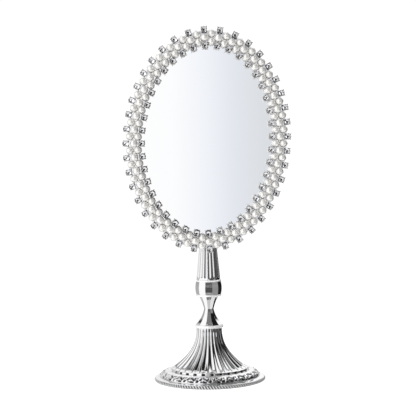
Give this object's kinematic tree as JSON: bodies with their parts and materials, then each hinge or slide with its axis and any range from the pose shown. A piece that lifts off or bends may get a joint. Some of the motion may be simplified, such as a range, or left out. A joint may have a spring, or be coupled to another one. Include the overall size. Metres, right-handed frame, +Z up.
{
  "type": "pedestal mirror",
  "caption": "Oval table mirror with a pearl and stone beaded rim on a turned, fluted metal pedestal; the head swivels and tilts on a friction hinge.",
  "frame": {"origin": "centre of the felt pad's underside, on the pedestal's axis", "axes": "+Z up along the pedestal, -Y the way the mirror faces, +X to the right seen from in front"},
  "size_m": [0.1658, 0.1124, 0.3526],
  "materials": {
    "felt": "matte wool felt",
    "plain_steel": "plain turned steel",
    "silver_plate": "bright silver plating",
    "bush_brass": "turned brass",
    "washer_nylon": "natural nylon",
    "black_board": "matte foam board",
    "mirror": "silvered glass",
    "pearl": "nacre-coated pearl",
    "stone": "foil-backed faceted glass"
  },
  "bodies": {
    "stand": {"felt_pad": "felt", "base_plate": "plain_steel", "foot_bell": "silver_plate", "rod_nut": "plain_steel", "rod_washer": "plain_steel", "tie_rod": "plain_steel", "collar_disc": "silver_plate", "waist_spool": "silver_plate", "lower_bead_ring": "silver_plate", "faceted_knop": "silver_plate", "upper_bead_ring": "silver_plate", "fluted_column": "silver_plate", "socket_bush": "bush_brass"},
    "knuckle": {"thrust_washer": "washer_nylon", "swivel_post": "silver_plate", "snap_ring": "plain_steel"},
    "head": {"hinge_bracket": "silver_plate", "bracket_rivets": "plain_steel", "hinge_washers": "washer_nylon", "tilt_pin": "silver_plate", "cap_nut": "silver_plate", "back_cover": "silver_plate", "cover_screws": "plain_steel", "backing_pad": "black_board", "mirror_glass": "mirror", "frame_ring": "silver_plate", "pair_wires": "silver_plate", "single_wires": "silver_plate", "outer_pearls": "pearl", "centre_pearls": "pearl", "inner_pearls": "pearl", "outer_cups": "silver_plate", "inner_cups": "silver_plate", "outer_stones": "stone", "inner_stones": "stone"}
  },
  "joints": [
    {"name": "head_swivel", "type": "hinge", "parent": "stand", "child": "knuckle", "pos_m": [0, 0, 0.1358], "axis": [0, 0, 1], "continuous": true},
    {"name": "head_tilt", "type": "hinge", "parent": "knuckle", "child": "head", "pos_m": [0, 0, 0.1477], "axis": [1, 0, 0], "range_deg": [-25, 6]}
  ]
}
